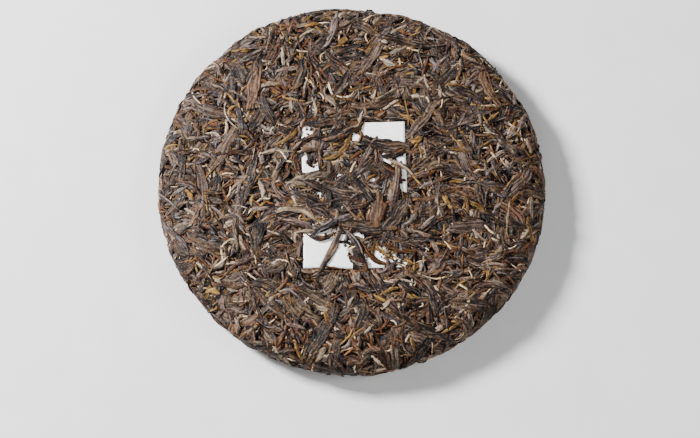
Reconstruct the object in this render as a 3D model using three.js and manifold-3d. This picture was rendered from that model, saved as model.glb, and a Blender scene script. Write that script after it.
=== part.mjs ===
// A pressed cake of pu erh tea, lying with its face up, and the paper ticket pressed into that face.
// Millimetres, +Z up, the origin under the middle of the cake on the surface that it lies on.
// The cake is one solid: a slightly smaller core of pressed leaf, with the larger leaves that show fused on.
import * as THREE from "three";
import { mergeVertices } from "three/addons/utils/BufferGeometryUtils.js";
import Module from "manifold-3d";

const wasm = await Module();
wasm.setup();

// Driving dimensions of the cake
const CAKE_RADIUS = 97.5;
const CAKE_THICKNESS = 25;
const LEAF_RELIEF = 1.7; // how far the leaves on the face and the rim stand out of the core
const FOOT_RELIEF = 0.7; // the same on the underside, where pressing has flattened them
const RIM_LOW = 7.5; // the rim is steepest between these heights
const RIM_HIGH = 12;
const SHOULDER_RADIUS = 80; // where the face starts to fall away to the rim
const SHOULDER_DROP = 2.6; // and how far it has sunk by then from the middle
const FOOT_RADIUS = 81; // outer edge of the flat underside
const NEST_RADIUS = 25; // the hollow that the knot of the pressing bag leaves underneath
const NEST_DEPTH = 8;
const FOOT_BEND = 8; // how far the rounding of the foot reaches outwards
const RIM_BEND = 5; // and of the rim downwards and upwards
const SHOULDER_BEND = 9; // and of the shoulder outwards
const FACE_CROWN = 26; // reach of the handles that make the face a very low dome
const CORE_BUMP = 0.35; // height of the bumps of small leaf on the bare core

// How the cake departs from a true round, as shares of its radius, each with its lobes and its phase
const OUT_OF_ROUND = [
  { share: 0.0040, lobes: 2, phase: 0.6 },
  { share: 0.0035, lobes: 3, phase: -0.9 },
  { share: 0.0028, lobes: 5, phase: 2.1 },
];
const BROAD_WAVE = 0.45; // height of the broad hollows and rises of the face
const NARROW_WAVE = 0.25; // and of the narrow ones

// Driving dimensions of the ticket
const TICKET_WIDTH = 52;
const TICKET_LENGTH = 76.5;
const TICKET_X = 1; // its middle on the face
const TICKET_Y = -8.5;
const TICKET_THICKNESS = 0.4;
const TICKET_LIFT = 0.35; // its underside over the core
const TICKET_GAP = 0.3; // clear of the leaves all round
const TICKET_CELL = 8.8; // size of its mesh's cells
const OVER_TICKET = 1.6; // how high the middle of a leaf lies that crosses the ticket
const LEAN_DOWN = 5; // and how far past the ticket it has come down to the core again

// How finely things are cut into faces
const CORE_TURNS = 36;
const RING_STEPS = [4, 3, 4, 1, 5, 5]; // of each stretch of the section, finest round the rim
const SECTION_SAMPLES = 260;
const LEAF_SIDES = 4;
const SHORT_STEPS = 4; // of a leaf anywhere
const LONG_STEPS = 6; // of a leaf over the ticket

const coreRadius = CAKE_RADIUS - LEAF_RELIEF;
const coreTop = CAKE_THICKNESS - LEAF_RELIEF;
const GOLDEN_ANGLE = Math.PI * (3 - Math.sqrt(5));

// Half of the core's section, as (radius, height), from the top of the nest round the rim to the middle of the face.
const section = new THREE.Path()
  .moveTo(0, FOOT_RELIEF + NEST_DEPTH)
  .bezierCurveTo(
    NEST_RADIUS * 0.45, FOOT_RELIEF + NEST_DEPTH,
    NEST_RADIUS * 0.5, FOOT_RELIEF,
    NEST_RADIUS, FOOT_RELIEF)
  .lineTo(FOOT_RADIUS, FOOT_RELIEF)
  .bezierCurveTo(
    FOOT_RADIUS + FOOT_BEND, FOOT_RELIEF,
    coreRadius, RIM_LOW - RIM_BEND,
    coreRadius, RIM_LOW)
  .lineTo(coreRadius, RIM_HIGH)
  .bezierCurveTo(
    coreRadius, RIM_HIGH + RIM_BEND,
    SHOULDER_RADIUS + SHOULDER_BEND, coreTop - 1.4 * SHOULDER_DROP,
    SHOULDER_RADIUS, coreTop - SHOULDER_DROP)
  .bezierCurveTo(
    SHOULDER_RADIUS - FACE_CROWN, coreTop,
    FACE_CROWN, coreTop,
    0, coreTop);
const samples = section.getSpacedPoints(SECTION_SAMPLES);

// A repeatable draw between 0 and 1 for item i and purpose k.
function chance(i, k) {
  const wave = Math.sin(i * 127.1 + k * 311.7) * 43758.5453;
  return wave - Math.floor(wave);
}

function between(low, high, share) {
  return low + (high - low) * share;
}

// The nearest point of the round core to a point, with the core's outward normal there.
function onCore(point) {
  const radius = Math.hypot(point.x, point.y);
  const turn = Math.atan2(point.y, point.x);
  let best = Infinity;
  let near = null;
  for (let i = 0; i < SECTION_SAMPLES; i++) {
    const a = samples[i];
    const b = samples[i + 1];
    const run = new THREE.Vector2().subVectors(b, a);
    const share = ((radius - a.x) * run.x + (point.z - a.y) * run.y) / run.lengthSq();
    const place = a.clone().addScaledVector(run, THREE.MathUtils.clamp(share, 0, 1));
    const gap = Math.hypot(radius - place.x, point.z - place.y);
    if (gap < best) {
      best = gap;
      near = { place, run };
    }
  }
  const out = new THREE.Vector2(near.run.y, -near.run.x).normalize();
  return {
    place: new THREE.Vector3(near.place.x * Math.cos(turn), near.place.x * Math.sin(turn), near.place.y),
    normal: new THREE.Vector3(out.x * Math.cos(turn), out.x * Math.sin(turn), out.y),
  };
}

// Height of the face of the round core at a radius.
function faceHeight(radius) {
  for (let i = SECTION_SAMPLES; i > 0; i--) {
    const inner = samples[i];
    const outer = samples[i - 1];
    if (radius <= outer.x) {
      return between(inner.y, outer.y, (radius - inner.x) / (outer.x - inner.x));
    }
  }
  return RIM_HIGH;
}

// No cake is quite round or flat: this moves a point of the ideal cake to its place on the real one.
function uneven(point) {
  const turn = Math.atan2(point.y, point.x);
  const spread = OUT_OF_ROUND.reduce(
    (sum, { share, lobes, phase }) => sum + share * Math.cos(lobes * turn + phase), 1);
  const upper = THREE.MathUtils.smoothstep(point.z, RIM_LOW, RIM_HIGH + RIM_BEND);
  const wave = BROAD_WAVE * Math.sin(point.x / 19 + 0.8) * Math.cos(point.y / 23 - 0.4)
    + NARROW_WAVE * Math.sin(point.x / 9 - point.y / 11);
  return new THREE.Vector3(point.x * spread, point.y * spread, point.z + wave * upper);
}

// The closed solid of a geometry, from its positions alone.
function solidOf(geometry) {
  const bare = geometry.clone();
  bare.deleteAttribute("normal");
  bare.deleteAttribute("uv");
  const merged = mergeVertices(bare, 1e-4);
  return new wasm.Manifold(new wasm.Mesh({
    numProp: 3,
    vertProperties: new Float32Array(merged.attributes.position.array),
    triVerts: new Uint32Array(merged.index.array),
  }));
}

// The geometry of a solid.
function geometryOf(solid) {
  const mesh = solid.getMesh();
  const geometry = new THREE.BufferGeometry();
  geometry.setAttribute("position", new THREE.BufferAttribute(mesh.vertProperties, 3));
  geometry.setIndex(new THREE.BufferAttribute(mesh.triVerts, 1));
  geometry.computeVertexNormals();
  return geometry;
}

// Moves every vertex of a geometry to where move(vertex) puts it.
function reshaped(geometry, move) {
  const places = geometry.attributes.position;
  const vertex = new THREE.Vector3();
  for (let i = 0; i < places.count; i++) {
    const moved = move(vertex.fromBufferAttribute(places, i));
    places.setXYZ(i, moved.x, moved.y, moved.z);
  }
  return geometry;
}

// The bare core: the section turned round the axis, with low bumps of small leaf all over but the underside.
function coreSolid() {
  const stretches = section.curves.map((curve, i) => curve.getPoints(RING_STEPS[i]).slice(1));
  const profile = [samples[0], ...stretches.flat()];
  profile.at(0).x = 0;
  profile.at(-1).x = 0;
  const round = new THREE.LatheGeometry(profile, CORE_TURNS).rotateX(Math.PI / 2);
  return solidOf(reshaped(round, (vertex) => {
    const { place, normal } = onCore(vertex);
    const bump = CORE_BUMP * Math.sin(place.x * 1.3 + place.y * 0.7) * Math.cos(place.y * 1.1 - place.z);
    const upper = THREE.MathUtils.smoothstep(place.z, 1, RIM_LOW);
    return uneven(place.addScaledVector(normal, bump * upper));
  }));
}

// Places and directions along a leaf that follows the core, from its first tip to its last.
function leafFrames(leaf) {
  const stride = leaf.length / leaf.steps;
  const turn = leaf.bend / leaf.steps;
  const start = onCore(leaf.middle);
  const march = (way) => {
    const found = [];
    let { place, normal } = start;
    const along = leaf.along.clone();
    for (let i = 0; i <= leaf.steps / 2; i++) {
      along.addScaledVector(normal, -along.dot(normal)).normalize();
      found.push({ place, normal, along: along.clone() });
      along.applyAxisAngle(normal, way * turn);
      ({ place, normal } = onCore(place.clone().addScaledVector(along, way * stride)));
    }
    return found;
  };
  return [...march(-1).reverse(), ...march(1).slice(1)];
}

// How far a place on the face lies outside the ticket's edges, and 0 over the ticket.
function pastTicket(place) {
  return Math.hypot(
    Math.max(0, Math.abs(place.x - TICKET_X) - TICKET_WIDTH / 2),
    Math.max(0, Math.abs(place.y - TICKET_Y) - TICKET_LENGTH / 2));
}

// One leaf: a low four-sided strip, pointed at both ends, bent and a little twisted, whose tips sink into the core.
function leafSolid(leaf) {
  const frames = leafFrames(leaf);
  const strip = new THREE.SphereGeometry(1, LEAF_SIDES, leaf.steps);
  return solidOf(reshaped(strip, (vertex) => {
    const step = Math.round((Math.acos(THREE.MathUtils.clamp(vertex.y, -1, 1)) / Math.PI) * leaf.steps);
    const way = step / leaf.steps - 0.5;
    const full = Math.SQRT2 * Math.sqrt(Math.max(0, 1 - 4 * way * way));
    const open = step % leaf.steps ? full : 0;
    const around = Math.atan2(vertex.z, vertex.x) + Math.PI / LEAF_SIDES + leaf.twist * way;
    const { place, normal, along } = frames[step];
    const side = new THREE.Vector3().crossVectors(normal, along);
    const over = leaf.overTicket ? 1 - Math.min(1, pastTicket(place) / LEAN_DOWN) : 0;
    const height = between(leaf.lift, OVER_TICKET + leaf.lift, over) - leaf.sink * 4 * way * way + leaf.slope * way;
    return uneven(place.clone()
      .addScaledVector(side, open * Math.cos(around) * leaf.width / 2)
      .addScaledVector(normal, height + open * Math.sin(around) * leaf.thickness / 2));
  }));
}

// Leaves that cross the ticket, then ones that stand out on the open face: the middle's x and y,
// the heading in degrees, the length, the width and the bend in degrees.
const SHOWN_LEAVES = [
  [-12, -5, -20, 33, 8, 15],
  [0, 1, 40, 30, 7, -10],
  [5.5, -6.5, -50, 29, 7, 10],
  [20.5, -6.5, 80, 28, 6, -10],
  [22, -20, 60, 28.5, 7, 15],
  [-6.5, -15, 10, 33.5, 8, 10],
  [-10.5, -23, 25, 28, 5, -20],
  [7, -26.5, -5, 29.5, 7, 15],
  [-18.5, 16.5, 80, 22, 6, 10],
  [-4, 24, 25, 24, 6, 20],
  [-13.5, 29.5, 5, 25.5, 6, -10],
  [-21.5, -13.5, -30, 23, 9, -5],
  [11, -19.5, -100, 20, 8.5, -15],
  [-28.5, -23, -20, 18.5, 5, -40],
  [22, -37.5, -15, 16.5, 4.5, 25],
  [22, -33, -20, 21.5, 4.5, 0],
  [2.5, -43, -65, 14, 7.5, 5],
  [-20.5, 0, 20, 32, 6.5, 20],
  [19.5, 16, -10, 18, 5, 35],
  [-4.5, 14.5, 45, 24.5, 3.5, 80],
  [7, 10.5, -115, 26.5, 3.5, -5],
  [24, 6, -35, 16.5, 3, -10],
  [-25.5, -17, -20, 30, 4, -75],
  [-11, -38, -115, 26.5, 3.5, -10],
  [2, -35, -60, 21, 3.5, -40],
  [9, -41.5, -40, 19, 3, 55],
  [-49.5, 56.5, -110, 16, 6, -20],
  [-42, 36, -65, 18, 6, 0],
  [-47.5, -30, -95, 21.5, 5, 35],
  [-43.5, -54, -20, 17, 6, -55],
  [-2.5, 70.5, 25, 18, 4.5, -40],
  [59, 45.5, -20, 19, 4, -40],
  [51, 3, -15, 18, 5, 50],
  [3.5, -71, -105, 16, 6, -15],
  [38, -61, -80, 21.5, 4.5, -5],
  [-8.5, 80, -110, 23, 4, -25],
];

// The leaves of the list, lifted where they cross the ticket.
function shownLeaves() {
  return SHOWN_LEAVES.map(([x, y, heading, length, width, bend], i) => ({
    middle: new THREE.Vector3(x, y, coreTop),
    along: new THREE.Vector3(1, 0, 0).applyAxisAngle(
      new THREE.Vector3(0, 0, 1), THREE.MathUtils.degToRad(heading)),
    length,
    width,
    thickness: between(1.5, 1.8, chance(i, 21)),
    bend: THREE.MathUtils.degToRad(bend),
    twist: between(-0.4, 0.4, chance(i, 22)),
    lift: between(-0.1, 0.2, chance(i, 23)),
    sink: 0.2,
    slope: 0,
    steps: LONG_STEPS,
    overTicket: true,
  }));
}

// Limits of the draws that are the same in every zone: radians of bend and twist, and millimetres by which
// a leaf's tips are sunk into the core and one of them stands higher than the other.
const MOST_BEND = 0.8;
const MOST_TWIST = 0.7;
const MOST_SLOPE = 0.8;
const TIP_SINK = [0.3, 1.1];

// A leaf of the given zone, number i of its kind, with its sizes drawn between the zone's limits.
function drawnLeaf(zone, i, middle, along) {
  const draw = (k) => chance(i, zone.seed + k);
  return {
    middle,
    along,
    length: between(...zone.length, draw(1)),
    width: between(...zone.width, draw(2)),
    thickness: between(...zone.thickness, draw(3)),
    bend: between(-MOST_BEND, MOST_BEND, draw(4)),
    twist: between(-MOST_TWIST, MOST_TWIST, draw(5)),
    lift: between(...zone.lift, draw(6)),
    sink: between(...TIP_SINK, draw(7)),
    slope: between(-MOST_SLOPE, MOST_SLOPE, draw(8)),
    steps: SHORT_STEPS,
    overTicket: false,
  };
}

const FACE = {
  seed: 100, count: 54, inner: 10, outer: 88,
  length: [20, 38], width: [4, 7.5], thickness: [2.2, 2.8], lift: [0.1, 0.5],
};
const RIM = {
  seed: 200, count: 30,
  length: [17, 32], width: [3.5, 6], thickness: [2.4, 3], lift: [0, 0.4],
};
const UNDERSIDE = {
  seed: 300, count: 18, inner: 33, outer: 84,
  length: [20, 34], width: [5, 8], thickness: [1.6, 2], lift: [0, 0.2],
};
const NEST = {
  seed: 400, count: 7, radius: 17,
  length: [16, 22], width: [4, 6], thickness: [1.8, 2.2], lift: [-0.1, 0.1],
};

// Leaves spread evenly over a flat ring by the golden angle, at any heading.
function ringLeaves(zone, height) {
  const found = [];
  for (let i = 0; i < zone.count; i++) {
    const share = (i + 0.5) / zone.count;
    const radius = Math.sqrt(between(zone.inner ** 2, zone.outer ** 2, share));
    const turn = i * GOLDEN_ANGLE;
    const heading = Math.PI * 2 * chance(i, zone.seed);
    found.push(drawnLeaf(zone, i,
      new THREE.Vector3(radius * Math.cos(turn), radius * Math.sin(turn), height),
      new THREE.Vector3(Math.cos(heading), Math.sin(heading), 0)));
  }
  return found;
}

// The leaves of the open face, outside the ticket.
function faceLeaves() {
  return ringLeaves(FACE, coreTop)
    .filter(({ middle, length }) => pastTicket(middle) > length * 0.3);
}

// Leaves round the rim, in two staggered rows that mostly run round the cake.
function rimLeaves() {
  const found = [];
  for (let i = 0; i < RIM.count; i++) {
    const turn = (i * 2 * Math.PI) / RIM.count;
    const height = (i % 2 ? RIM_LOW - 2.5 : RIM_HIGH + 2.5) + between(-1.5, 1.5, chance(i, 31));
    const steep = between(-0.75, 0.75, chance(i, 32));
    found.push(drawnLeaf(RIM, i,
      new THREE.Vector3(CAKE_RADIUS * Math.cos(turn), CAKE_RADIUS * Math.sin(turn), height),
      new THREE.Vector3(-Math.sin(turn) * Math.cos(steep), Math.cos(turn) * Math.cos(steep), Math.sin(steep))));
  }
  return found;
}

// Leaves drawn into the nest towards its middle.
function nestLeaves() {
  const found = [];
  for (let i = 0; i < NEST.count; i++) {
    const turn = (i * 2 * Math.PI) / NEST.count;
    found.push(drawnLeaf(NEST, i,
      new THREE.Vector3(NEST.radius * Math.cos(turn), NEST.radius * Math.sin(turn), FOOT_RELIEF),
      new THREE.Vector3(Math.cos(turn + 0.5), Math.sin(turn + 0.5), 0)));
  }
  return found;
}

// The ticket: a thin sheet that follows the face, grown by grow on every side.
function ticketSolid(grow) {
  const width = TICKET_WIDTH + 2 * grow;
  const length = TICKET_LENGTH + 2 * grow;
  const sheet = new THREE.BoxGeometry(
    width, length, TICKET_THICKNESS + 2 * grow,
    Math.round(TICKET_WIDTH / TICKET_CELL), Math.round(TICKET_LENGTH / TICKET_CELL), 1);
  return solidOf(reshaped(sheet, (vertex) => {
    const x = TICKET_X + vertex.x;
    const y = TICKET_Y + vertex.y;
    const height = faceHeight(Math.hypot(x, y)) + TICKET_LIFT + TICKET_THICKNESS / 2;
    return uneven(new THREE.Vector3(x, y, height + vertex.z));
  }));
}

// What lies below the surface that the cake rests on.
function floorSolid() {
  const depth = 10;
  return solidOf(new THREE.BoxGeometry(3 * CAKE_RADIUS, 3 * CAKE_RADIUS, depth).translate(0, 0, -depth / 2));
}

// The whole pressed cake: core and leaves in one, flat where it rests, and clear of the ticket.
function cakeSolid() {
  const leaves = [
    ...faceLeaves(),
    ...shownLeaves(),
    ...rimLeaves(),
    ...ringLeaves(UNDERSIDE, 0),
    ...nestLeaves(),
  ];
  const pressed = leaves
    .reduce((whole, leaf) => whole.add(leafSolid(leaf)), coreSolid())
    .subtract(ticketSolid(TICKET_GAP))
    .subtract(floorSolid());
  const bodies = pressed.decompose().sort((a, b) => b.volume() - a.volume());
  return bodies[0];
}

const cake = new THREE.Mesh(
  geometryOf(cakeSolid()),
  new THREE.MeshStandardMaterial({ color: 0x4a3a2e, roughness: 0.6, metalness: 0 }));
cake.name = "tea_cake";

const ticket = new THREE.Mesh(
  geometryOf(ticketSolid(0)),
  new THREE.MeshStandardMaterial({ color: 0xf2eee8, roughness: 0.85, metalness: 0 }));
ticket.name = "paper_ticket";

// The origin lies under the middle of the cake's own box.
const group = new THREE.Group();
group.add(cake, ticket);
const box = new THREE.Box3().setFromObject(cake);
const middle = box.getCenter(new THREE.Vector3());
group.position.set(-middle.x, -middle.y, -box.min.z);

export default group;
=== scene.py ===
"""The looks of a pressed cake of pu erh tea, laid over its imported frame.

Lengths are millimetres until a mesh is made. The cake's skin is unrolled on two flat charts, one centred on
the middle of the face and one on the middle of the underside: a place's distance from a chart's middle is the
length of the section's curve up to it. Leaves are laid one by one on the charts, each on what lies there
already and pressed, and are then wrapped round the core.
"""

import math

import bpy
import numpy as np
from mathutils import Matrix, Vector


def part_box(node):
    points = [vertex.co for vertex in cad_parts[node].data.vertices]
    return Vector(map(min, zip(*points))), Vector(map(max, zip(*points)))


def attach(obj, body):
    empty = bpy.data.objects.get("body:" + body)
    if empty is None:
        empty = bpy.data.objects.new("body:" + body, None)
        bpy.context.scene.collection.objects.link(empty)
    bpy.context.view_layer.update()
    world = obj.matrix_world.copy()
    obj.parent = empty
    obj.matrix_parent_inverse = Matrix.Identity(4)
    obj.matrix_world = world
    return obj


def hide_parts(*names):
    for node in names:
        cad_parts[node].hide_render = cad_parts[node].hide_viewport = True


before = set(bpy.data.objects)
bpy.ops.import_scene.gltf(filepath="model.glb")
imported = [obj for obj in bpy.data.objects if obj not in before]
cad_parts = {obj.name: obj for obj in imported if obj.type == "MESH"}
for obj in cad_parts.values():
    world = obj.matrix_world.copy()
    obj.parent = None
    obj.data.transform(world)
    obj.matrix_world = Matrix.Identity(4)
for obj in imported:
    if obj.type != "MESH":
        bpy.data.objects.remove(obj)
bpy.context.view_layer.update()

MM = 0.001

# The cake's section, as in the frame's own model
CAKE_RADIUS = 97.5
CAKE_THICKNESS = 25.0
LEAF_RELIEF = 1.7
FOOT_RELIEF = 0.7
RIM_LOW = 7.5
RIM_HIGH = 12.0
SHOULDER_RADIUS = 80.0
SHOULDER_DROP = 2.6
SHOULDER_FALL = 1.4  # drops below the top at which the curve outside the shoulder aims
FOOT_RADIUS = 81.0
NEST_RADIUS = 25.0
NEST_DEPTH = 8.0
NEST_BENDS = (0.45, 0.5)  # shares of its radius where its side bends, at the top and at the foot
FOOT_BEND = 8.0
RIM_BEND = 5.0
SHOULDER_BEND = 9.0
FACE_CROWN = 26.0
OUT_OF_ROUND = ((0.0040, 2, 0.6), (0.0035, 3, -0.9), (0.0028, 5, 2.1))  # share of the radius, lobes, phase
BROAD_WAVE = 0.45  # how far the face rises and falls
BROAD_WAVE_SIZE = (19, 23)
BROAD_WAVE_PHASE = (0.8, -0.4)
NARROW_WAVE = 0.25
NARROW_WAVE_SIZE = (9, 11)

# The ticket
TICKET_WIDTH = 52.0
TICKET_LENGTH = 76.5
TICKET_X = 1.0
TICKET_Y = -8.5
PAPER = 0.12  # its thickness
PAPER_LEVEL = 0.5  # its underside over the core
UNDER_PAPER = 0.3  # how high leaves under it may stand
BESIDE_TICKET = 0.45  # how steeply leaves may rise from its edges
PAPER_MARGIN = 0.3  # how far outside its edges a leaf's points still keep over the paper
PATH_MARGIN = 1.5  # and a leaf's middle line

# How high the leaves may stand out of the core
FACE_CAP = 2.5
RIM_CAP = 3.5
FOOT_CAP = 0.66
NEST_CAP = 1.2
OVER_PAPER_CAP = 3.1
FACE_ZONE = (22, 10)  # how far inside the rim's line the face's cap begins to rise to the rim's, and ends
NEST_ZONE = (16, 26)  # where the nest's cap begins to fall to the foot's, and ends
FOOT_ZONE = (4, 15)  # how far outside the foot its cap begins to rise to the rim's, and ends
FREE_SHARE = 0.6  # of a cap, up to which nothing is pressed
LOWEST = 0.02  # leaves are pressed flat against the floor
DEEPEST = -0.8  # how far a leaf may reach into the core

# How a leaf comes to lie
PRESSING = 0.5  # what pressing leaves of the height that a leaf lies on
STIFFNESS = 0.6  # how far a leaf rests on the highest thing below it, and not on the mean
FELT_WIDTH = 0.3  # shares of its width at which a leaf feels what it lies on, and which it covers
COVERED_WIDTH = 0.45
TILTING = 0.7  # what of the slope below it a leaf takes on
TILT_SLACK = 0.3
STEEPEST = 0.45  # how far a leaf tilts at most

# The charts
CHART_CELL = 0.6
CHART_CELLS = 440
SHARED_BAND = 20  # how far inside the rim's line a chart's leaves also raise the other chart
EVENING = 4  # cells on each side over which heights are evened

core_radius = CAKE_RADIUS - LEAF_RELIEF
core_top = CAKE_THICKNESS - LEAF_RELIEF
rng = np.random.default_rng(357)


def stacked(*parts):
    """Arrays as the last axis of one array."""
    return np.stack(parts, axis=-1)


def polar(reach, turn):
    """The place at a distance and an angle from a chart's middle."""
    return reach * math.cos(turn), reach * math.sin(turn)


def left_of(along):
    """Directions turned to the left."""
    return stacked(-along[..., 1], along[..., 0])


def bezier(a, b, c, d, count=120):
    """Points along a cubic curve, without its last."""
    a, b, c, d = (np.array(p, float) for p in (a, b, c, d))
    t = np.linspace(0, 1, count, endpoint=False)[:, None]
    return (1 - t) ** 3 * a + 3 * t * (1 - t) ** 2 * b + 3 * t * t * (1 - t) * c + t ** 3 * d


def straight(a, b, count=60):
    """Points along a straight line, without its last."""
    return np.linspace(a, b, count, endpoint=False)


def core_section():
    """Half of the core's section, as (radius, height), from the nest round the rim to the face's middle."""
    nest_top = FOOT_RELIEF + NEST_DEPTH
    shoulder = (SHOULDER_RADIUS, core_top - SHOULDER_DROP)
    return np.concatenate([
        bezier((0, nest_top), (NEST_RADIUS * NEST_BENDS[0], nest_top),
               (NEST_RADIUS * NEST_BENDS[1], FOOT_RELIEF), (NEST_RADIUS, FOOT_RELIEF)),
        straight((NEST_RADIUS, FOOT_RELIEF), (FOOT_RADIUS, FOOT_RELIEF)),
        bezier((FOOT_RADIUS, FOOT_RELIEF), (FOOT_RADIUS + FOOT_BEND, FOOT_RELIEF),
               (core_radius, RIM_LOW - RIM_BEND), (core_radius, RIM_LOW)),
        straight((core_radius, RIM_LOW), (core_radius, RIM_HIGH)),
        bezier((core_radius, RIM_HIGH), (core_radius, RIM_HIGH + RIM_BEND),
               (SHOULDER_RADIUS + SHOULDER_BEND, core_top - SHOULDER_FALL * SHOULDER_DROP), shoulder),
        bezier(shoulder, (SHOULDER_RADIUS - FACE_CROWN, core_top), (FACE_CROWN, core_top), (0, core_top)),
        [(0, core_top)],
    ])


section = core_section()
runs = np.gradient(section, axis=0)
outward = np.stack([runs[:, 1], -runs[:, 0]], axis=1) / np.hypot(*runs.T)[:, None]
arc = np.concatenate([[0], np.cumsum(np.hypot(*np.diff(section, axis=0).T))])
ARC_LENGTH = arc[-1]
RIM_REACH = ARC_LENGTH - arc[np.argmax(section[:, 0])] - (RIM_HIGH - RIM_LOW) / 2
UNDER_REACH = ARC_LENGTH - RIM_REACH  # the same line of the rim on the underside's chart


def smoothstep(low, high, value):
    share = np.clip((value - low) / (high - low), 0, 1)
    return share * share * (3 - 2 * share)


def uneven(x, y, z):
    """Moves points of the ideal cake to their places on the real one, which isn't quite round or flat."""
    turn = np.arctan2(y, x)
    spread = 1 + sum(share * np.cos(lobes * turn + phase) for share, lobes, phase in OUT_OF_ROUND)
    upper = smoothstep(RIM_LOW, RIM_HIGH + RIM_BEND, z)
    wave = (BROAD_WAVE * np.sin(x / BROAD_WAVE_SIZE[0] + BROAD_WAVE_PHASE[0])
            * np.cos(y / BROAD_WAVE_SIZE[1] + BROAD_WAVE_PHASE[1])
            + NARROW_WAVE * np.sin(x / NARROW_WAVE_SIZE[0] - y / NARROW_WAVE_SIZE[1]))
    return stacked(x * spread, y * spread, z + wave * upper)


def frame_offset(samples=41):
    """From the ideal cake's axes to the frame's, found by where the ticket's edges lie in each."""
    edge = np.linspace(-0.5, 0.5, samples)
    side = np.full_like(edge, 0.5)
    x = TICKET_X + TICKET_WIDTH * np.concatenate([edge, edge, -side, side])
    y = TICKET_Y + TICKET_LENGTH * np.concatenate([-side, side, edge, edge])
    ideal = uneven(x, y, np.full_like(x, core_top))
    low, high = (np.array(corner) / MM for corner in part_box("paper_ticket"))
    shift = (low + high) / 2 - (ideal.min(axis=0) + ideal.max(axis=0)) / 2
    return np.array([shift[0], shift[1], 0.0])


OFFSET = frame_offset()


def distance(places):
    return np.hypot(places[..., 0], places[..., 1])


def wrapped(places, heights, on_face):
    """Places on a chart, with heights over the core, as points of the frame."""
    reach = distance(places)
    turn = np.arctan2(np.where(on_face, 1, -1) * places[..., 1], places[..., 0])
    at = np.where(on_face, ARC_LENGTH - reach, reach)
    radius = np.interp(at, arc, section[:, 0]) + heights * np.interp(at, arc, outward[:, 0])
    level = np.interp(at, arc, section[:, 1]) + heights * np.interp(at, arc, outward[:, 1])
    points = uneven(radius * np.cos(turn), radius * np.sin(turn), level) + OFFSET
    points[..., 2] = np.maximum(points[..., 2], LOWEST)
    return points


def other_chart(places):
    """The same places of the skin on the other chart."""
    reach = distance(places)
    grown = (ARC_LENGTH - reach) / np.maximum(reach, 1e-6)
    return places * grown[..., None] * (1, -1)


def past_ticket(places):
    """How far places of the face's chart lie outside the ticket's edges, and 0 under the ticket."""
    return np.hypot(
        np.maximum(0, np.abs(places[..., 0] - TICKET_X) - TICKET_WIDTH / 2),
        np.maximum(0, np.abs(places[..., 1] - TICKET_Y) - TICKET_LENGTH / 2))


def paper_level(places):
    """How high the ticket's upper side lies over the core: the paper shows a little of what is under it."""
    x, y = places[..., 0], places[..., 1]
    dents = (0.10 * np.sin(x / 3.1 + 0.7 * np.sin(y / 5.3)) * np.cos(y / 4.1)
             + 0.06 * np.sin(x * 0.9 + y * 0.55) + 0.05 * np.sin(y * 1.3 - x * 0.4))
    return PAPER_LEVEL + PAPER + dents


def cap_of(places, on_face):
    """How high leaves may stand at places of a chart."""
    reach = distance(places)
    open_face = FACE_CAP + (RIM_CAP - FACE_CAP) * smoothstep(*(RIM_REACH - edge for edge in FACE_ZONE), reach)
    face = np.minimum(open_face, UNDER_PAPER + BESIDE_TICKET * past_ticket(places))
    foot = NEST_CAP + (FOOT_CAP - NEST_CAP) * smoothstep(*NEST_ZONE, reach)
    foot = foot + (RIM_CAP - FOOT_CAP) * smoothstep(*(FOOT_RADIUS + edge for edge in FOOT_ZONE), reach)
    return np.where(on_face, face, foot)


def pressed(heights, cap):
    """Heights squeezed so that they come near the cap but not over it."""
    free = FREE_SHARE * cap
    rest = cap - free
    return np.where(heights < free, heights, cap - rest * np.exp(-(np.maximum(heights, free) - free) / rest))


class Relief:
    """How high the core is covered so far, on both charts."""

    def __init__(self):
        self.grids = np.zeros((2, CHART_CELLS, CHART_CELLS), np.float32)

    def cells(self, places):
        found = np.round(places / CHART_CELL + CHART_CELLS / 2).astype(int)
        return tuple(np.clip(np.moveaxis(found, -1, 0), 0, CHART_CELLS - 1))

    def read(self, places, on_face):
        return self.grids[int(on_face)][self.cells(places)]

    def cover(self, places, heights, on_face):
        np.maximum.at(self.grids[int(on_face)], self.cells(places), heights)
        if distance(places).max() > RIM_REACH - SHARED_BAND:
            np.maximum.at(self.grids[int(not on_face)], self.cells(other_chart(places)), heights)


relief = Relief()
kept_clear = np.zeros((CHART_CELLS, CHART_CELLS), bool)  # where no small thing lies on the face


def evened(grid, reach=EVENING):
    """A grid with every cell the mean of the square of cells round it."""
    size = 2 * reach + 1
    padded = np.pad(grid.astype(float), ((reach + 1, reach), (reach + 1, reach)), mode="edge")
    sums = padded.cumsum(axis=0).cumsum(axis=1)
    return (sums[size:, size:] - sums[:-size, size:] - sums[size:, :-size] + sums[:-size, :-size]) / size ** 2


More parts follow.
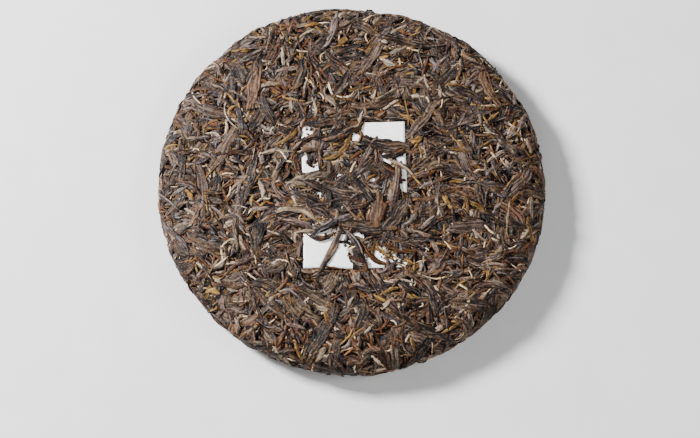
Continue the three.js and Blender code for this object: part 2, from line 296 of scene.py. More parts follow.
# Every kind of leaf: steps along it and corners round it, limits of its sizes in millimetres, how strongly
# its section is fluted, creased, curled and twisted, and how often an end is broken off blunt
FORM = ("steps", "sides", "length", "width", "thick", "flute", "crease", "curl", "twist", "blunt")
KINDS = {kind: dict(zip(FORM, values)) for kind, *values in (
    ("grey_leaves", 8, 8, (5, 24), (1.2, 4.2), (0.8, 1.5), 0.22, 0.18, 0.3, 1.8, 0.35),
    ("dark_brown_leaves", 8, 8, (5, 23), (1.1, 4.0), (0.8, 1.5), 0.22, 0.18, 0.3, 2.0, 0.35),
    ("broad_leaves", 10, 18, (10, 27), (4.0, 9.5), (0.7, 1.1), 0.06, 0.5, 0.07, 0.4, 0.6),
    ("mauve_leaves", 8, 8, (5, 20), (1.2, 4.0), (0.7, 1.3), 0.2, 0.18, 0.3, 1.6, 0.4),
    ("russet_leaves", 8, 6, (4, 18), (0.8, 2.4), (0.6, 1.1), 0.15, 0.1, 0.25, 1.6, 0.5),
    ("golden_leaves", 8, 7, (5, 20), (1.0, 3.2), (0.7, 1.2), 0.18, 0.15, 0.3, 1.6, 0.4),
    ("beige_leaves", 9, 8, (5, 20), (1.1, 4.0), (0.7, 1.2), 0.18, 0.2, 0.3, 1.5, 0.35),
    ("silver_tips", 8, 5, (4, 15), (0.6, 1.5), (0.5, 0.9), 0.1, 0.0, 0.15, 1.2, 0.25),
    ("stems", 7, 5, (4, 17), (0.5, 1.0), (0.4, 0.8), 0.05, 0.0, 0.0, 0.5, 0.9),
    ("leaf_bits", 3, 5, (1.0, 4.2), (0.6, 1.9), (0.4, 0.9), 0.2, 0.0, 0.2, 0.8, 0.7),
)}
laid = {kind: [] for kind in KINDS}


def between(low, high, share):
    return low + (high - low) * share


def draw_leaf(kind, middle, heading, on_face, **given):
    """A leaf of a kind, with every size that isn't given drawn between the kind's limits."""
    form = KINDS[kind]
    leaf = dict(
        kind=kind,
        middle=np.array(middle, float),
        heading=heading,
        on_face=on_face,
        length=between(*form["length"], rng.beta(1.6, 2.6)),
        width=between(*form["width"], rng.beta(1.6, 2.2)),
        thick=rng.uniform(*form["thick"]),
        bend=rng.normal(0, 0.45),
        wave=rng.normal(0, 0.28),
        wave_phase=rng.uniform(0, 2 * math.pi),
        kink=rng.normal(0, 0.2),
        twist=rng.normal(0, form["twist"]),
        roll=rng.uniform(-0.5, 0.5) if form["twist"] > 1 else rng.uniform(-0.15, 0.15),
        curl=rng.normal(0, form["curl"]),
        lean=rng.uniform(0.7, 1.45),
        blunt=rng.random(2) < form["blunt"],
        lift=rng.uniform(-0.1, 0.25),
        tips=rng.uniform(-0.35, 0.25, 2),
        phases=rng.uniform(0, 2 * math.pi, 3),
        tone=rng.random(),
        hue=rng.random(),
        over_paper=False,
    )
    leaf.update(given)
    return leaf


def leaf_path(leaf):
    """Places along a leaf's middle line on its chart, and the directions there."""
    steps = KINDS[leaf["kind"]]["steps"]
    share = np.linspace(0, 1, steps + 1)
    heading = (leaf["heading"] + leaf["bend"] * (share - 0.5)
               + leaf["wave"] * np.sin(2 * math.pi * share + leaf["wave_phase"])
               + leaf["kink"] * np.sin(5.3 * math.pi * share + 3 * leaf["wave_phase"]))
    along = np.stack([np.cos(heading), np.sin(heading)], axis=1)
    middles = (along[1:] + along[:-1]) / 2
    path = np.concatenate([[(0, 0)], np.cumsum(middles, axis=0)]) * leaf["length"] / steps
    return path - path[steps // 2] + leaf["middle"], along


def smoothed(values, passes=2):
    """Values along a leaf evened out, as a leaf that lies on others is."""
    for _ in range(passes):
        padded = np.concatenate([values[:1], values, values[-1:]])
        values = (padded[:-2] + 2 * padded[1:-1] + padded[2:]) / 4
    return values


def lay(leaf, lines=5):
    """Lays a leaf on what is there: finds how high it lies and how it tilts, and raises the relief."""
    path, along = leaf_path(leaf)
    side = left_of(along)
    reach = FELT_WIDTH * leaf["width"]
    on_face = leaf["on_face"]
    felt = np.stack([relief.read(path + k * reach * side, on_face) for k in (-1, 0, 1)])
    under = smoothed(felt.max(axis=0) * STIFFNESS + felt.mean(axis=0) * (1 - STIFFNESS))
    level = PRESSING * under + leaf["lift"]
    if leaf["over_paper"]:
        floor = (PAPER_LEVEL + PAPER) * (past_ticket(path) < PATH_MARGIN)
        level = np.maximum(level, floor)
    slope = (felt[2] - felt[0]) / (2 * reach + TILT_SLACK)
    tilt = smoothed(np.clip(slope * TILTING, -STEEPEST, STEEPEST))
    share = np.linspace(0, 1, len(path))
    full = np.sqrt(np.clip(1 - np.abs(2 * share - 1) ** 3, 0, 1))
    across = np.linspace(-COVERED_WIDTH, COVERED_WIDTH, lines)[None, :, None]
    cover = path[:, None] + side[:, None] * across * leaf["width"]
    top = (level + leaf["thick"] * full)[:, None] * np.ones(lines)
    cap = OVER_PAPER_CAP if leaf["over_paper"] else cap_of(cover, on_face)
    top = pressed(top, cap)
    relief.cover(cover, top, on_face)
    leaf.update(path=path, along=along, level=level, tilt=tilt, cover=cover, top=top)
    laid[leaf["kind"]].append(leaf)


def drop_hidden(least=0.26, slack=0.22):
    """Leaves out the leaves that others cover all but wholly."""
    for kind, leaves in laid.items():
        laid[kind] = [
            leaf for leaf in leaves
            if np.mean(leaf["top"] + slack > relief.read(leaf["cover"], leaf["on_face"])) > least]


def gathered(leaves, *names):
    """Values of leaves, an array for each name, with two more axes for rings and corners."""
    return (np.array([leaf[name] for leaf in leaves])[:, None, None] for name in names)


# The shape of every leaf
FULLNESS = 2.4  # how full its outline stays towards the ends
BROKEN_END = 0.62  # widths of its ends, as shares of its width
POINTED_END = 0.10
THINNEST = 0.3  # its ends' thickness, as a share
RAGGED = ((0.14, 4.1), (0.11, 8.3))  # shares of its width that come and go, and half waves along it
NARROW_FLUTES = 0.6  # how strong the five narrow flutes are beside the three broad ones
RIDGES = (0.55, 0.36)  # how many ridges a leaf has on either side, and how many more for each millimetre
RIDGE_HEIGHT = 1.6
CUPPED = 0.4  # how far a curled leaf's middle lies below its edges
FLATTENED = 0.72  # what pressing leaves of a section's height
RAISED = 0.9  # half thicknesses from what it lies on to its middle
OVER_PAPER = 0.05  # how far its lowest points stay over the paper
GRAIN_STEP = 7.31  # from one leaf's grain to the next one's


def leaf_sections(leaves, form, share, around):
    """Sections of leaves, as leaf x ring x corner: how far corners lie across and up, half the leaf's
    thickness there, and the ridges along it."""
    width, thick, lean = gathered(leaves, "width", "thick", "lean")
    twist, roll, curl = gathered(leaves, "twist", "roll", "curl")
    blunt = np.array([leaf["blunt"] for leaf in leaves])
    phases = np.array([leaf["phases"] for leaf in leaves])[:, :, None, None]
    first, second, third = phases[:, 0], phases[:, 1], phases[:, 2]
    pointed = np.sqrt(np.clip(1 - np.abs(2 * share ** lean - 1) ** FULLNESS, 0.0, 1))
    broken = np.where(share < 0.5, blunt[:, :1, None], blunt[:, 1:, None])
    taper = np.maximum(pointed, np.where(broken, BROKEN_END, POINTED_END))
    ragged = 1
    for (size, waves), phase in zip(RAGGED, (second, third)):
        ragged = ragged + size * np.sin(waves * share * math.pi + phase)
    half_width = width / 2 * taper * ragged
    half_thick = thick / 2 * np.maximum(taper, THINNEST)
    flutes = 1 + form["flute"] * (
        np.cos(3 * around + first + 2.2 * share) + NARROW_FLUTES * np.cos(5 * around + second - 3.0 * share))
    flat = np.cos(around) * flutes
    ridge_count = RIDGES[0] + RIDGES[1] * width
    ridges = np.cos(ridge_count * math.pi * np.cos(around) + third + 1.8 * np.sin(3.0 * share + first))
    crease = form["crease"] * ridges
    wide = flat * half_width
    high = (np.sin(around) * flutes * half_thick + crease * half_thick * RIDGE_HEIGHT
            + curl * (flat ** 2 - CUPPED) * half_width)
    turn = roll + twist * (share - 0.5)
    across = wide * np.cos(turn) - high * np.sin(turn)
    up = (wide * np.sin(turn) + high * np.cos(turn)) * FLATTENED
    return across, up, half_thick, ridges


def leaf_rings(kind):
    """Points of every leaf of a kind, as leaf x ring x corner, and what its material reads at each."""
    leaves = laid[kind]
    form = KINDS[kind]
    share = np.linspace(0, 1, form["steps"] + 1)[None, :, None]
    around = (np.arange(form["sides"]) * 2 * math.pi / form["sides"])[None, None, :]
    across, up, half_thick, ridges = leaf_sections(leaves, form, share, around)
    level, tilt, path, along, tips = (
        np.array([leaf[name] for leaf in leaves])[:, :, None]
        for name in ("level", "tilt", "path", "along", "tips"))
    ends = tips[:, :1] * (1 - 2 * share).clip(0) ** 2 + tips[:, 1:] * (2 * share - 1).clip(0) ** 2
    heights = level + half_thick * RAISED + up + tilt * across + ends
    places = path + left_of(along) * across[..., None]
    on_face, over_paper = gathered(leaves, "on_face", "over_paper")
    length, tone, hue = gathered(leaves, "length", "tone", "hue")
    cap = np.where(over_paper, OVER_PAPER_CAP, cap_of(places, on_face))
    on_paper = over_paper & (past_ticket(places) < PAPER_MARGIN)
    lowest = np.where(on_paper, paper_level(places) + OVER_PAPER, DEEPEST)
    heights = np.maximum(pressed(heights, cap), lowest)
    # How far each point lies below the evened relief round it, for the painted shade of leaves that lie deep
    # under others
    under, over = (evened(grid)[relief.cells(places)] for grid in relief.grids)
    depth = np.where(on_face, over, under) - heights

    def everywhere(*values):
        return stacked(*(np.broadcast_to(value, across.shape) for value in values))

    number = np.arange(len(leaves))[:, None, None]
    return wrapped(places, heights, on_face), {
        "grain": everywhere(share * length, across, number * GRAIN_STEP),
        "look": everywhere(tone, hue, share),
        # Masks for the painted shade: depth under the leaves round it, the rolled side edges and the furrows
        # between the ridges
        "painted_shade": everywhere(depth, np.abs(np.cos(around)) ** 4, ridges),
    }


def tube_faces(rings, sides):
    """Faces of a closed tube: quads between its rings, and a fan of triangles at either end."""
    ring, corner = np.meshgrid(np.arange(rings - 1), np.arange(sides), indexing="ij")
    after = (corner + 1) % sides
    quads = stacked(
        ring * sides + corner, ring * sides + after,
        (ring + 1) * sides + after, (ring + 1) * sides + corner).reshape(-1, 4)
    here = np.arange(sides)
    following = (here + 1) % sides
    last = (rings - 1) * sides
    fans = np.concatenate([
        stacked(following, here, np.full(sides, rings * sides)),
        stacked(last + here, last + following, np.full(sides, rings * sides + 1)),
    ])
    return quads, fans


def tube_map(rings, sides):
    """The place of each corner of those faces, in rings along the tube and corners round it."""
    ring, corner = np.meshgrid(np.arange(rings - 1), np.arange(sides), indexing="ij")
    quads = np.stack([
        stacked(ring + 1, corner), stacked(ring + 1, corner + 1),
        stacked(ring + 2, corner + 1), stacked(ring + 2, corner),
    ], axis=-2).reshape(-1, 4, 2)
    here = np.arange(sides)
    ones = np.ones(sides)
    first_fan = (stacked(ones, here + 1), stacked(ones, here), stacked(0 * ones, here + 0.5))
    last_fan = (stacked(rings * ones, here), stacked(rings * ones, here + 1),
                stacked((rings + 1) * ones, here + 0.5))
    return quads, np.concatenate([np.stack(first_fan, axis=-2), np.stack(last_fan, axis=-2)])


def many_tubes(count, rings, sides, margin=0.06):
    """Faces of count closed tubes, and the bake map's place of each of their corners."""
    shift = (np.arange(count) * (rings * sides + 2))[:, None, None]
    faces = [(one + shift).reshape(-1, one.shape[1]) for one in tube_faces(rings, sides)]
    columns = math.ceil(math.sqrt(count / 3))
    rows = math.ceil(count / columns)
    cell = stacked(np.arange(count) % columns, np.arange(count) // columns)[:, None, None, :]
    size = np.array([rings + 1, sides])
    maps = [((cell + (margin + (1 - 2 * margin) * one / size)) / (columns, rows)).reshape(-1, 2)
            for one in tube_map(rings, sides)]
    return (*faces, np.concatenate(maps))


def new_object(name, points, quads, triangles, material, smooth=True):
    """A mesh object from arrays of points in millimetres and faces."""
    mesh = bpy.data.meshes.new(name)
    corners = np.concatenate([quads.ravel(), triangles.ravel()]).astype(np.int32)
    sizes = np.concatenate([np.full(len(quads), 4), np.full(len(triangles), 3)])
    starts = np.concatenate([[0], np.cumsum(sizes)[:-1]]).astype(np.int32)
    mesh.vertices.add(len(points))
    mesh.loops.add(len(corners))
    mesh.polygons.add(len(sizes))
    mesh.vertices.foreach_set("co", (points * MM).astype(np.float32).ravel())
    mesh.loops.foreach_set("vertex_index", corners)
    mesh.polygons.foreach_set("loop_start", starts)
    mesh.polygons.foreach_set("use_smooth", np.full(len(sizes), smooth))
    mesh.update(calc_edges=True)
    mesh.validate()
    mesh.materials.append(material)
    thing = bpy.data.objects.new(name, mesh)
    bpy.context.scene.collection.objects.link(thing)
    return thing


def leaf_piece(kind, material):
    """All the leaves of a kind, joined in one mesh."""
    points, values_by_name = leaf_rings(kind)
    count, rings, sides, _ = points.shape

    def with_caps(values):
        ends = values[:, [0, -1]].mean(axis=2)
        return np.concatenate([values.reshape(count, rings * sides, 3), ends], axis=1).reshape(-1, 3)

    quads, fans, bake_map = many_tubes(count, rings, sides)
    thing = new_object(kind, with_caps(points), quads, fans, material)
    for name, values in values_by_name.items():
        layer = thing.data.attributes.new(name, "FLOAT_VECTOR", "POINT")
        layer.data.foreach_set("vector", with_caps(values).astype(np.float32).ravel())
    layer = thing.data.uv_layers.new(name="OFBake")
    layer.data.foreach_set("uv", bake_map.astype(np.float32).ravel())
    return thing


# The large leaves' zones and repeatable draws, as in the frame's own model
GOLDEN_ANGLE = math.pi * (3 - math.sqrt(5))
FACE = dict(seed=100, count=54, inner=10, outer=88, length=(20, 38), width=(4, 7.5))
RIM = dict(seed=200, count=30, length=(17, 32), width=(3.5, 6), beyond=2.5, off=1.5, steep=0.75)
UNDERSIDE = dict(seed=300, count=18, inner=33, outer=84, length=(20, 34), width=(5, 8))
NEST = dict(seed=400, count=7, radius=17, length=(16, 22), width=(4, 6), turned=0.5)
LARGE_KINDS = ("broad_leaves", "broad_leaves", "grey_leaves", "dark_brown_leaves", "mauve_leaves")
BROAD_FROM = 4.6  # width from which a large leaf is a broad one
LARGE_THICK = 1.2
LARGE_BEND = 0.8  # at most, in radians
LARGE_CLEAR = 0.3  # lengths that the middle of a large leaf keeps from the ticket


def chance(i, k):
    wave = math.sin(i * 127.1 + k * 311.7) * 43758.5453
    return wave - math.floor(wave)


def large_leaf(zone, i, middle, heading, on_face):
    """One of the large leaves that are fused to the solid, at the same place and size."""
    length, width, bend, pick = (chance(i, zone["seed"] + k) for k in (1, 2, 4, 9))
    width = between(*zone["width"], width)
    kind = "broad_leaves" if width > BROAD_FROM else LARGE_KINDS[int(pick * len(LARGE_KINDS))]
    turned = 1 if on_face else -1
    return draw_leaf(kind, middle, heading, on_face,
                     length=between(*zone["length"], length), width=width, thick=LARGE_THICK,
                     bend=turned * between(-LARGE_BEND, LARGE_BEND, bend), wave=0.12, lift=0.35)


def ring_places(zone):
    """Number, radius, turn and heading of each leaf that a zone spreads evenly over a ring."""
    for i in range(zone["count"]):
        share = (i + 0.5) / zone["count"]
        radius = math.sqrt(between(zone["inner"] ** 2, zone["outer"] ** 2, share))
        yield i, radius, i * GOLDEN_ANGLE, 2 * math.pi * chance(i, zone["seed"])


def reach_at(radius, height):
    """Distance from the face chart's middle to the place of the section nearest a radius and a height."""
    nearest = np.argmin(np.hypot(section[:, 0] - radius, section[:, 1] - height))
    return ARC_LENGTH - arc[nearest]


def large_leaves():
    """The large leaves of the open face, the rim, the underside and the nest."""
    for i, radius, turn, heading in ring_places(FACE):
        leaf = large_leaf(FACE, i, polar(reach_at(radius, core_top), turn), heading, True)
        if past_ticket(leaf["middle"]) > leaf["length"] * LARGE_CLEAR:
            yield leaf
    for i in range(RIM["count"]):
        turn = i * 2 * math.pi / RIM["count"]
        height = RIM_LOW - RIM["beyond"] if i % 2 else RIM_HIGH + RIM["beyond"]
        height += between(-RIM["off"], RIM["off"], chance(i, 31))
        steep = between(-RIM["steep"], RIM["steep"], chance(i, 32))
        place = polar(reach_at(CAKE_RADIUS, height), turn)
        yield large_leaf(RIM, i, place, turn + math.pi / 2 + steep, True)
    for i, radius, turn, heading in ring_places(UNDERSIDE):
        place = polar(ARC_LENGTH - reach_at(radius, 0), -turn)
        yield large_leaf(UNDERSIDE, i, place, -heading, False)
    for i in range(NEST["count"]):
        turn = i * 2 * math.pi / NEST["count"]
        place = polar(ARC_LENGTH - reach_at(NEST["radius"], FOOT_RELIEF), -turn)
        yield large_leaf(NEST, i, place, -(turn + NEST["turned"]), False)


# Leaves that lie over the ticket or stand out on the face, in the order in which they are laid: the middle's
# x and y, the heading in degrees, the length, the width, the bend in degrees, the tone and the hue
SHOWN_LEAVES = {
    "broad_leaves": (
        (-12, -5, -20, 33, 8, 15, 0.3, 0.4), (0, 1, 40, 30, 7, -10, 0.4, 0.3),
        (5.5, -6.5, -50, 29, 7, 10, 0.2, 0.5), (22, -20, 60, 28.5, 7, 15, 0.4, 0.5),
        (-6.5, -15, 10, 33.5, 8, 10, 0.25, 0.3), (7, -26.5, -5, 29.5, 7, 15, 0.3, 0.6),
        (-18.5, 16.5, 80, 22, 6, 10, 0.3, 0.3), (-13.5, 29.5, 5, 25.5, 6, -10, 0.3, 0.4),
        (-21.5, -13.5, -30, 23, 9.5, -5, 0.3, 0.2), (49, 4.5, -10, 17, 5, 10, 0.5, 0.3),
        (11.5, 4.5, -10, 17.5, 6, -60, 0.4, 0.8),
        (22, -33, -20, 21.5, 4.5, 0, 0.45, 0.5), (-3, -13.5, -45, 16, 5, 5, 0.3, 0.3),
        (-49.5, 56.5, -110, 13.5, 5.5, -20, 0.55, 0), (-42, 36, -65, 17.5, 6, 0, 0.3, 0.2),
        (-47.5, -30, -95, 21.5, 5, 35, 0.35, 0.75), (-68, -3, -105, 11.5, 6, -20, 0.15, 0.2),
        (-43.5, -54, -20, 14.5, 6, -55, 0.45, 0.5), (-2.5, 70.5, 25, 17.5, 4.5, -40, 0.2, 0.2),
        (59, 45.5, -20, 19, 4, -40, 0.45, 0.3), (51, 3, -15, 17, 5, 50, 0.5, 0.4),
        (-37.5, -88.5, 20, 18, 4.5, -30, 0.45, 0.1), (3.5, -71, -105, 14.5, 6, -15, 0.4, 0.75),
        (38, -61, -80, 21.5, 4.5, -5, 0.2, 0), (19.5, -93, -85, 14.5, 5.5, 25, 0.6, 0.75),
        (16, 17, -11, 26, 7, 20, 0.12, 0.5),
    ),
    "dark_brown_leaves": (
        (-4, 24, 25, 24, 6, 20, 0.3, 0.6), (2.5, -43, -65, 14, 7.5, 5, 0.1, 0.6),
        (-55, 14.5, -5, 12.5, 3.5, -5, 0.1, 0.3), (41.5, -23, 25, 19.5, 2, -25, 0.1, 0.4),
        (-12.5, -10.5, -85, 12.5, 5, -30, 0.3, 0.5), (-59.5, 14, 0, 20.5, 2.5, -10, 0.1, 0.3),
        (58.5, -22.5, 5, 9.5, 2.5, 10, 0.3, 0.2), (25, -66, -125, 13.5, 1.5, 95, 0.2, 0.3),
        (21, 11.5, 15, 14, 3.5, 60, 0.1, 0.4), (-15, 21, 10, 22.5, 1.5, 5, 0.1, 0.5),
        (-20.5, 9.5, 45, 7, 2, 10, 0.1, 0.3), (-16, -32, 5, 15.5, 2.5, 100, 0.15, 0.6),
        (-4.5, -33.5, -5, 11, 1.2, -100, 0.2, 0.6), (42.5, -23, 30, 20, 1.5, -20, 0.05, 0.3),
        (18, 3, -42, 19, 5.5, -15, 0.2, 0.4), (11.5, -18, -97, 22, 10, -10, 0.8, 0.8),
    ),
    "mauve_leaves": (
        (20.5, -6.5, 80, 28, 6, -10, 0.4, 0.5), (-28.5, -23, -20, 18.5, 5, -40, 0.6, 0.2),
        (-20.5, 16.5, 15, 10, 7, 20, 0.8, 0.6), (7, 10.5, -115, 26.5, 3.5, -5, 0.2, 0.3),
        (2, -7.5, -30, 10.5, 2.5, -15, 0.9, 0.6), (-11, -38, -115, 26.5, 3.5, -10, 0.35, 0.4),
        (-37.5, -7, -55, 15, 2.5, 60, 0.8, 0.4), (-2, -72.5, -80, 8, 2, 15, 1, 0.6),
        (-28.5, -75.5, -15, 10.5, 2, -10, 0.8, 0.3),
    ),
    "grey_leaves": (
        (-10.5, -23, 25, 28, 5, -20, 0.4, 0.5), (-47.5, -28, -100, 17.5, 7, 0, 0.25, 0.7),
        (-55.5, 31.5, -85, 15.5, 4.5, -30, 0.6, 0.4), (-89, -26.5, -40, 25, 3.5, -55, 0.75, 0.3),
        (-20.5, 0, 20, 32, 6.5, 20, 0.95, 0.7), (2, -35, -60, 21, 3, -40, 0.5, 0.6),
        (-8.5, 82, -110, 23, 4, -25, 1, 0.3), (18.5, 45, 30, 14.5, 2.5, -5, 0.85, 0.75),
        (25.5, 70, 25, 13, 2.5, -10, 0.9, 0.7), (42, -9, -95, 13, 2, 35, 1, 0.6),
        (69.5, -41.5, 25, 8.5, 3, 60, 0.95, 0.6),
    ),
    "russet_leaves": (
        (22, -37.5, -15, 16.5, 4.5, 25, 0.2, 0.9), (53.5, -44.5, -95, 12, 1.5, 0, 0.1, 0.9),
        (2.5, 12, 35, 9.5, 2, 10, 0.4, 0.8), (9, -41.5, -40, 19, 2.5, 55, 0.6, 0.7),
        (38.5, 1.5, 30, 7, 2, 10, 0.5, 0.9), (-34, 49, -30, 6.5, 2, -40, 0.8, 0.9),
        (-70, 56.5, -35, 21, 1.2, 25, 0.7, 0.8), (70, 56, -70, 23, 0.9, -40, 0.5, 0.8),
        (-3, -88, 35, 6, 1.3, 0, 1, 0.9), (-36.5, -83, 55, 8, 1.4, 0, 1, 0.8),
    ),
    "golden_leaves": (
        (-4.5, 14.5, 45, 24.5, 3.5, 80, 0.4, 0.6), (4.5, 21, -105, 14, 1.2, -100, 0.6, 0.5),
        (19.5, -6, -80, 9, 2, -15, 0.2, 0.6), (31.5, 19, 25, 7.5, 3.5, 30, 0.95, 0.7),
        (-61, 37.5, -125, 7, 2, 75, 0.9, 0.6), (-73, -9.5, -80, 15.5, 1.3, 0, 0.6, 0.6),
        (-69.5, -57, -15, 9, 3, -100, 0.9, 0.7), (-19, 84.5, 15, 9, 2.5, -20, 0.6, 1),
        (-3.5, 75.5, 40, 6, 3.5, 0, 0.4, 0.75), (17, 66, 10, 6.5, 2, 20, 0.9, 0.75),
        (28, 37.5, -85, 19.5, 1.2, -10, 0.5, 0.7), (46.5, -12.5, -55, 10, 2.5, -15, 1, 0.6),
        (62.5, -15.5, -35, 9, 3, -45, 0.7, 0.7), (-4, -82, -130, 12, 1.1, -35, 1, 0.6),
        (16.5, -58.5, 20, 12.5, 2, -25, 0.9, 0.6), (13, -63, -30, 8, 2.5, 25, 0.9, 0.75),
        (47.5, -77, 30, 12.5, 1.6, -5, 0.3, 0.7),
    ),
    "beige_leaves": (
        (24, 6, -35, 16.5, 2, -10, 0.3, 0.6), (7.5, -6, -30, 13.5, 2.5, 30, 0.3, 0.6),
        (-25.5, -17, -20, 30, 4, -75, 0.45, 0.6), (-25.5, -28, 10, 12, 2, -15, 0.5, 0.5),
        (-8, -20, -100, 6.5, 2, -10, 0.2, 0.6), (-63, 34.5, -70, 19.5, 0.9, 90, 0.9, 0.4),
        (-42, 50.5, 10, 10.5, 3, -55, 0.4, 0.6), (-68, 24.5, -35, 7, 2, -90, 0.9, 0.4),
        (-55.5, -33, -65, 10, 2, 30, 0.5, 0.5), (-56.5, -14, -10, 8.5, 1, -55, 0.9, 0.2),
        (-62, -23.5, 30, 6.5, 3.5, -75, 0.8, 0.3), (-22.5, 79.5, 35, 10, 1.6, -35, 0.7, 0.7),
        (16.5, 75.5, -25, 6.5, 2.5, 30, 0.9, 0.3), (-34, 66.5, -85, 10, 2, -15, 0.7, 0.5),
        (-18, 38.5, -80, 10.5, 1.6, -60, 0.5, 0.3), (19.5, 39, 30, 12, 2, -5, 0.7, 0.4),
        (38.5, 51, -70, 13, 1.4, 35, 0.3, 0.5), (32.5, 43.5, 0, 5, 3, 0, 0.8, 0.5),
        (25, 82, 30, 9.5, 2.5, -10, 0.5, 0.5), (43.5, 7.5, -105, 7.5, 1.3, -80, 0.8, 0.3),
        (76.5, -20.5, -95, 20, 1.2, 20, 0.4, 0.3), (72, -15, 35, 6, 2.5, 15, 0.7, 0.3),
        (58.5, -30, 70, 10, 1, -5, 0.8, 0.6), (-2, -63.5, -115, 10, 1.5, 85, 0.5, 0.5),
        (0.5, -67.5, -10, 2.5, 3, 0, 0.8, 0.5), (10.5, -92.5, -40, 8, 1.5, -5, 0.9, 0.5),
        (22.5, -53.5, -5, 13.5, 1.4, -5, 0.8, 0.5), (54.5, -67, 50, 11, 1.5, 30, 0.9, 0.5),
    ),
    "silver_tips": (
        (0, 5, -115, 8.5, 1.5, 5, 0.2, 0.7), (-2.5, -23.5, -40, 6.5, 1.5, 0, 0.7, 0.5),
        (-79, 45.5, -65, 11.5, 1.1, 50, 0.8, 0.4), (-62.5, 28, -90, 9.5, 2, -30, 0.4, 0.4),
        (-42, 60, 65, 6.5, 1, 10, 0.5, 0.5), (-34, 12.5, -55, 7, 1.5, -55, 0.6, 0.4),
        (-62, -32, -155, 10.5, 1.3, 70, 0.2, 0.5), (-65, -39.5, -80, 7.5, 1.3, -5, 0.2, 0.5),
        (-65.5, -43, 35, 9.5, 1.3, 25, 0.3, 0.5), (-49.5, -39.5, -60, 11, 1.1, -75, 0.4, 0.5),
        (-35.5, -43, -10, 8, 1.4, -5, 0.7, 0.5), (-61, -7, -110, 8, 1.2, -50, 0.4, 0.5),
        (-10.5, 48, -75, 8, 1.5, 20, 0.8, 0.5), (69.5, 63.5, -45, 8, 1.5, 25, 0.6, 0.4),
        (83.5, 62, -55, 10, 1.4, -5, 0.6, 0.4), (68, 38.5, 0, 7.5, 1, 60, 0.4, 0.5),
        (42.5, -18, -105, 6.5, 1.4, -60, 0.6, 0.4), (71, 11.5, -55, 5.5, 1.3, 30, 0.5, 0.5),
        (65.5, -32, -10, 13, 1.6, 0, 0.9, 0.5), (66.5, -27, -45, 8.5, 1.5, 35, 0.5, 0.5),
        (43, -52.5, 10, 20.5, 1, 100, 0.4, 0.5), (-22, -61, 45, 8.5, 1.2, -5, 0.5, 0.6),
        (14.5, -53.5, -25, 16.5, 1.1, 80, 0.2, 0.5), (54, -57, -35, 5.5, 1.5, -5, 0.5, 0.5),
    ),
}

# Parts of the ticket that stay bare, as (left, right, lower, upper)
WINDOWS = (
    (6, 27.5, 23, 30), (20.5, 27.5, 17.5, 23.5), (15.5, 18, 8.5, 13.5), (23, 27, 9, 11), (24, 27, 0.5, 4),
    (24, 26.5, -6, -2.5), (-24.5, -23.5, 3, 10), (-23, -17.5, 4, 6), (-19.5, -18, 8.5, 10),
    (-24.5, -23, 22.5, 25.5), (1, 3, 20.5, 23), (-24.5, -21.5, -46.5, -30), (-21.5, -12.5, -45, -33.5),
    (-16.5, -11.5, -28.5, -26.5), (-7.5, -5, -33.5, -30.5), (-11, -5.5, -46, -41.5), (-9, -4.5, -41.5, -36),
    (-5, -0.5, -46.5, -44.5), (3, 6, -43, -40.5), (8.5, 13.5, -46, -43), (10.5, 12.5, -41, -38.5),
)

# The share of each kind in the mat
MIX = {
    "grey_leaves": 0.27,
    "dark_brown_leaves": 0.26,
    "broad_leaves": 0.085,
    "mauve_leaves": 0.14,
    "russet_leaves": 0.10,
    "golden_leaves": 0.10,
    "beige_leaves": 0.05,
    "silver_tips": 0.03,
}

# How many leaves are drawn for the mat, over the ticket and on top
FACE_LEAVES = 3300
UNDERSIDE_LEAVES = 1300
TICKET_CLEAR = 1.0  # how far the middles of the mat's leaves keep from the ticket
NEST_CLEAR = 6  # and from the middle of the underside
LAID_FIRST = 0.52  # the share of those that lies under the large leaves
OVER_TICKET = 700
ON_TOP = (
    ("beige_leaves", 62), ("russet_leaves", 110), ("golden_leaves", 60),
    ("stems", 320), ("leaf_bits", 5200), ("silver_tips", 290),
)
ROUND_THE_RIM = 94  # from here on leaves lie mostly round the cake
HEADING_SPREAD = 0.65  # radians by which headings differ from their bunch's, on the mat, rim and ticket
RIM_HEADING_SPREAD = 1.1
TICKET_HEADING_SPREAD = 0.9
TICKET_SPREAD = (0.54, 0.53)  # how far from its middle leaves over the ticket lie, in widths and lengths
PAINTED_SHEEN_HUE = 0.0022  # how much the hue changes a millimetre towards the near side: painted sheen, greyer towards the far side that the key light comes from and browner towards the near side
CRUMBS = dict(count=15000, on_face=0.65, length=(2.5, 7), width=(0.9, 1.8), height=(0.15, 0.6), past_rim=4)


def over_window(leaf):
    """Whether any of a leaf would lie over a part of the ticket that stays bare."""
    path, along = leaf_path(leaf)
    path = np.concatenate([path, (path[1:] + path[:-1]) / 2])
    along = np.concatenate([along, along[1:]])
    across = np.linspace(-0.4, 0.4, 3)[None, :, None] * leaf["width"]
    x, y = np.moveaxis(path[:, None] + left_of(along)[:, None] * across, -1, 0)
    return any(np.any((x > left) & (x < right) & (y > lower) & (y < upper))
               for left, right, lower, upper in WINDOWS)


def shown_leaves():
    for kind, rows in SHOWN_LEAVES.items():
        for x, y, heading, length, width, bend, tone, hue in rows:
            yield draw_leaf(
                kind, (x, y), math.radians(heading), True, length=length, width=width,
                bend=math.radians(bend), wave=0.1, twist=rng.normal(0, 0.6), curl=rng.normal(0, 0.1),
                lift=0.5, tone=tone, hue=hue, over_paper=past_ticket(np.array([x, y])) < length / 2)


def bunch_heading(place):
    """The direction that leaves near a place tend to lie in, in radians."""
    x, y = place
    swirl = 2.4 * math.sin(x / 23 + 1.1 * math.sin(y / 31))
    drift = 2.1 * math.cos(y / 19 - 0.8 * math.sin(x / 27))
    return swirl + drift


